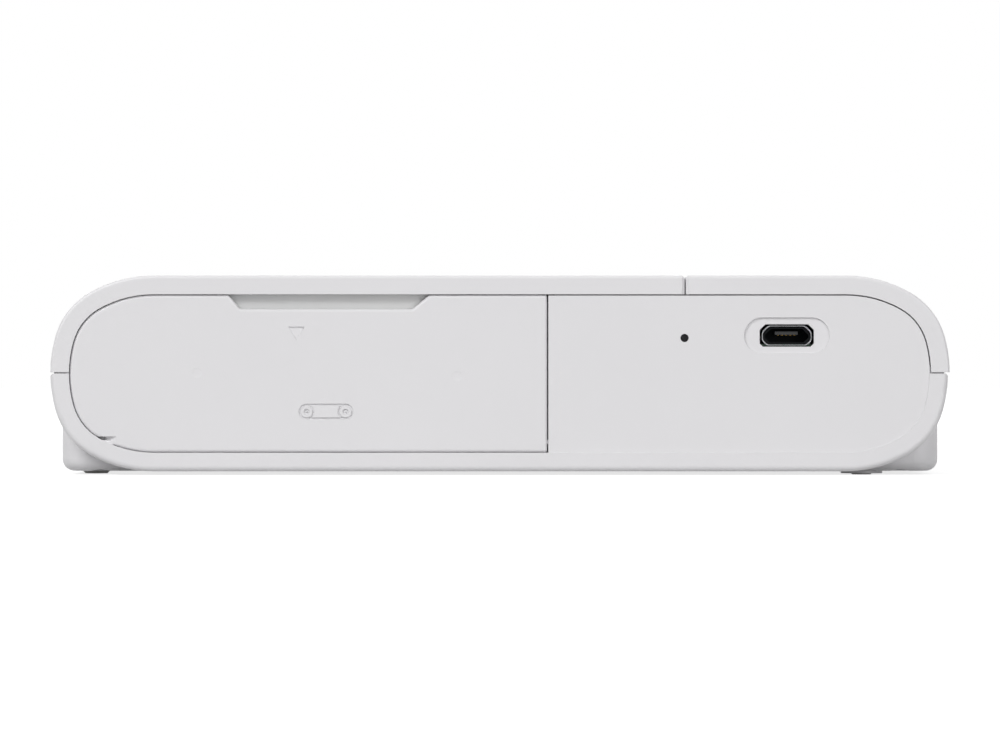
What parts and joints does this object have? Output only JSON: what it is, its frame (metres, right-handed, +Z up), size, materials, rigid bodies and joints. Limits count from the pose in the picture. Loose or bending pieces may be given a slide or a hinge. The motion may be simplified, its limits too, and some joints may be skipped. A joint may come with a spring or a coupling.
{
  "type": "compact photo printer",
  "caption": "Pocket photo printer with a lifting paper cover, a drop-down ink door, an ink cassette, a thermal head and a roller drive inside.",
  "frame": {"origin": "under the middle of the case, at the lower faces of the feet", "axes": "+X along the long side towards the charging socket, +Y from the side with the ink door to the far side, +Z up"},
  "size_m": [0.1432, 0.1022, 0.0318],
  "materials": {
    "shell_white": "fine satin moulded plastic",
    "inner_grey": "satin moulded plastic",
    "pale_inner": "satin moulded plastic",
    "black_plastic": "satin moulded plastic",
    "natural_plastic": "natural acetal",
    "light_guide": "milky translucent",
    "foot_rubber": "matt rubber",
    "roller_rubber": "ground rubber",
    "pad_foam": "felt",
    "steel": "ground steel",
    "plated_sheet": "plated sheet",
    "aluminium": "extruded",
    "ceramic": "glazed",
    "board_green": "solder mask",
    "chip_black": "moulded epoxy",
    "brass": "turned",
    "cell_wrap": "shrink film",
    "film": "thin dye film"
  },
  "bodies": {
    "case": {"battery_pack": "cell_wrap", "board_chips": "chip_black", "board_connectors": "natural_plastic", "board_screws": "steel", "board_shields": "plated_sheet", "case_screws": "steel", "front_side_plate": "plated_sheet", "gear_studs": "steel", "head_pivot_shaft": "steel", "hinge_pins": "steel", "lower_case": "shell_white", "main_board": "board_green", "motor_can": "plated_sheet", "paper_tray": "pale_inner", "power_light_ring": "light_guide", "power_switch": "black_plastic", "rear_side_plate": "plated_sheet", "rear_top_case": "shell_white", "reset_board": "board_green", "reset_switch": "black_plastic", "roller_bushes": "natural_plastic", "rubber_feet": "foot_rubber", "supply_hub": "black_plastic", "tie_rods": "steel", "usb_shell": "steel", "usb_tongue": "black_plastic"},
    "cover": {"paper_cover": "shell_white", "cover_inner_frame": "inner_grey", "pressure_pads": "pad_foam"},
    "door": {"ink_door": "shell_white"},
    "power_key": {"power_button": "shell_white"},
    "reset_key": {"reset_plunger": "black_plastic"},
    "cover_release": {"release_lever": "inner_grey"},
    "head": {"head_carrier": "black_plastic", "head_heat_sink": "aluminium", "heating_strip": "ceramic"},
    "grip": {"grip_roller": "steel", "grip_gear": "natural_plastic"},
    "pinch": {"pinch_roller": "steel", "pinch_tyres": "roller_rubber"},
    "platen": {"platen_shaft": "steel", "platen_rubber": "roller_rubber"},
    "feed": {"feed_shaft": "steel", "feed_tyres": "roller_rubber", "feed_gear": "natural_plastic"},
    "motor_rotor": {"motor_shaft": "steel", "motor_pinion": "brass"},
    "compound": {"compound_gear": "natural_plastic"},
    "idler": {"idler_gear": "natural_plastic"},
    "take_up_drive": {"take_up_spindle": "black_plastic", "take_up_gear": "natural_plastic"},
    "cassette": {"cassette_upper": "inner_grey", "cassette_lower": "inner_grey", "ribbon": "film"},
    "supply_reel": {"supply_spool": "natural_plastic"},
    "take_up_reel": {"take_up_spool": "natural_plastic"},
    "eject": {"eject_lever": "pale_inner"}
  },
  "joints": [
    {"name": "paper_cover_hinge", "type": "hinge", "parent": "case", "child": "cover", "pos_m": [0.0415, 0, 0.0293], "axis": [0, 1, 0], "range_deg": [0, 50]},
    {"name": "ink_door_hinge", "type": "hinge", "parent": "case", "child": "door", "pos_m": [-0.02, -0.05025, 0.0053], "axis": [1, 0, 0], "range_deg": [0, 88]},
    {"name": "power_button_press", "type": "slide", "parent": "case", "child": "power_key", "axis": [0, 0, -1], "range_m": [0, 0.0005], "stiffness_N_per_m": 400, "springref_m": -0.0015},
    {"name": "reset_press", "type": "slide", "parent": "case", "child": "reset_key", "axis": [0, 1, 0], "range_m": [0, 0.00025], "stiffness_N_per_m": 400, "springref_m": -0.0015},
    {"name": "cover_release_slide", "type": "slide", "parent": "case", "child": "cover_release", "axis": [1, 0, 0], "range_m": [0, 0.0035], "stiffness_N_per_m": 150, "springref_m": -0.004},
    {"name": "head_lift", "type": "hinge", "parent": "case", "child": "head", "pos_m": [-0.036, 0, 0.006], "axis": [0, -1, 0], "range_deg": [0, 8.4]},
    {"name": "cassette_slide", "type": "slide", "parent": "case", "child": "cassette", "axis": [0, -1, 0], "range_m": [0, 0.0025]},
    {"name": "eject_lever_turn", "type": "hinge", "parent": "case", "child": "eject", "pos_m": [-0.057, 0, 0.0065], "axis": [0, -1, 0], "range_deg": [0, 20], "stiffness_Nm_per_rad": 0.002, "springref_deg": -34.38},
    {"name": "grip_roller_spin", "type": "hinge", "parent": "case", "child": "grip", "pos_m": [0.0036, 0, 0.0131], "axis": [0, 1, 0], "continuous": true},
    {"name": "motor_spin", "type": "hinge", "parent": "case", "child": "motor_rotor", "pos_m": [0.02053, 0, 0.00904], "axis": [0, 1, 0], "continuous": true},
    {"name": "compound_gear_spin", "type": "hinge", "parent": "case", "child": "compound", "pos_m": [0.01112, 0, 0.01036], "axis": [0, 1, 0], "continuous": true},
    {"name": "idler_gear_spin", "type": "hinge", "parent": "case", "child": "idler", "pos_m": [0.0095, 0, 0.01922], "axis": [0, 1, 0], "continuous": true},
    {"name": "feed_roller_spin", "type": "hinge", "parent": "case", "child": "feed", "pos_m": [0.018, 0, 0.0191], "axis": [0, 1, 0], "continuous": true},
    {"name": "take_up_drive_spin", "type": "hinge", "parent": "case", "child": "take_up_drive", "pos_m": [-0.00552, 0, 0.009], "axis": [0, 1, 0], "continuous": true},
    {"name": "take_up_reel_spin", "type": "hinge", "parent": "cassette", "child": "take_up_reel", "pos_m": [-0.00552, 0, 0.009], "axis": [0, 1, 0], "continuous": true},
    {"name": "supply_reel_spin", "type": "hinge", "parent": "cassette", "child": "supply_reel", "pos_m": [-0.04552, 0, 0.009], "axis": [0, 1, 0], "continuous": true},
    {"name": "platen_spin", "type": "hinge", "parent": "case", "child": "platen", "pos_m": [-0.016, 0, 0.0183], "axis": [0, 1, 0], "continuous": true},
    {"name": "pinch_roller_spin", "type": "hinge", "parent": "case", "child": "pinch", "pos_m": [0.0036, 0, 0.0175], "axis": [0, 1, 0], "continuous": true}
  ],
  "couplings": [
    {"joint": "idler_gear_spin", "follows": "grip_roller_spin", "ratio": -1.4286},
    {"joint": "feed_roller_spin", "follows": "grip_roller_spin", "ratio": 1},
    {"joint": "take_up_drive_spin", "follows": "grip_roller_spin", "ratio": -1},
    {"joint": "take_up_reel_spin", "follows": "grip_roller_spin", "ratio": -1},
    {"joint": "compound_gear_spin", "follows": "grip_roller_spin", "ratio": -1.6667},
    {"joint": "motor_spin", "follows": "grip_roller_spin", "ratio": 4.6667},
    {"joint": "pinch_roller_spin", "follows": "grip_roller_spin", "ratio": -0.90909}
  ]
}
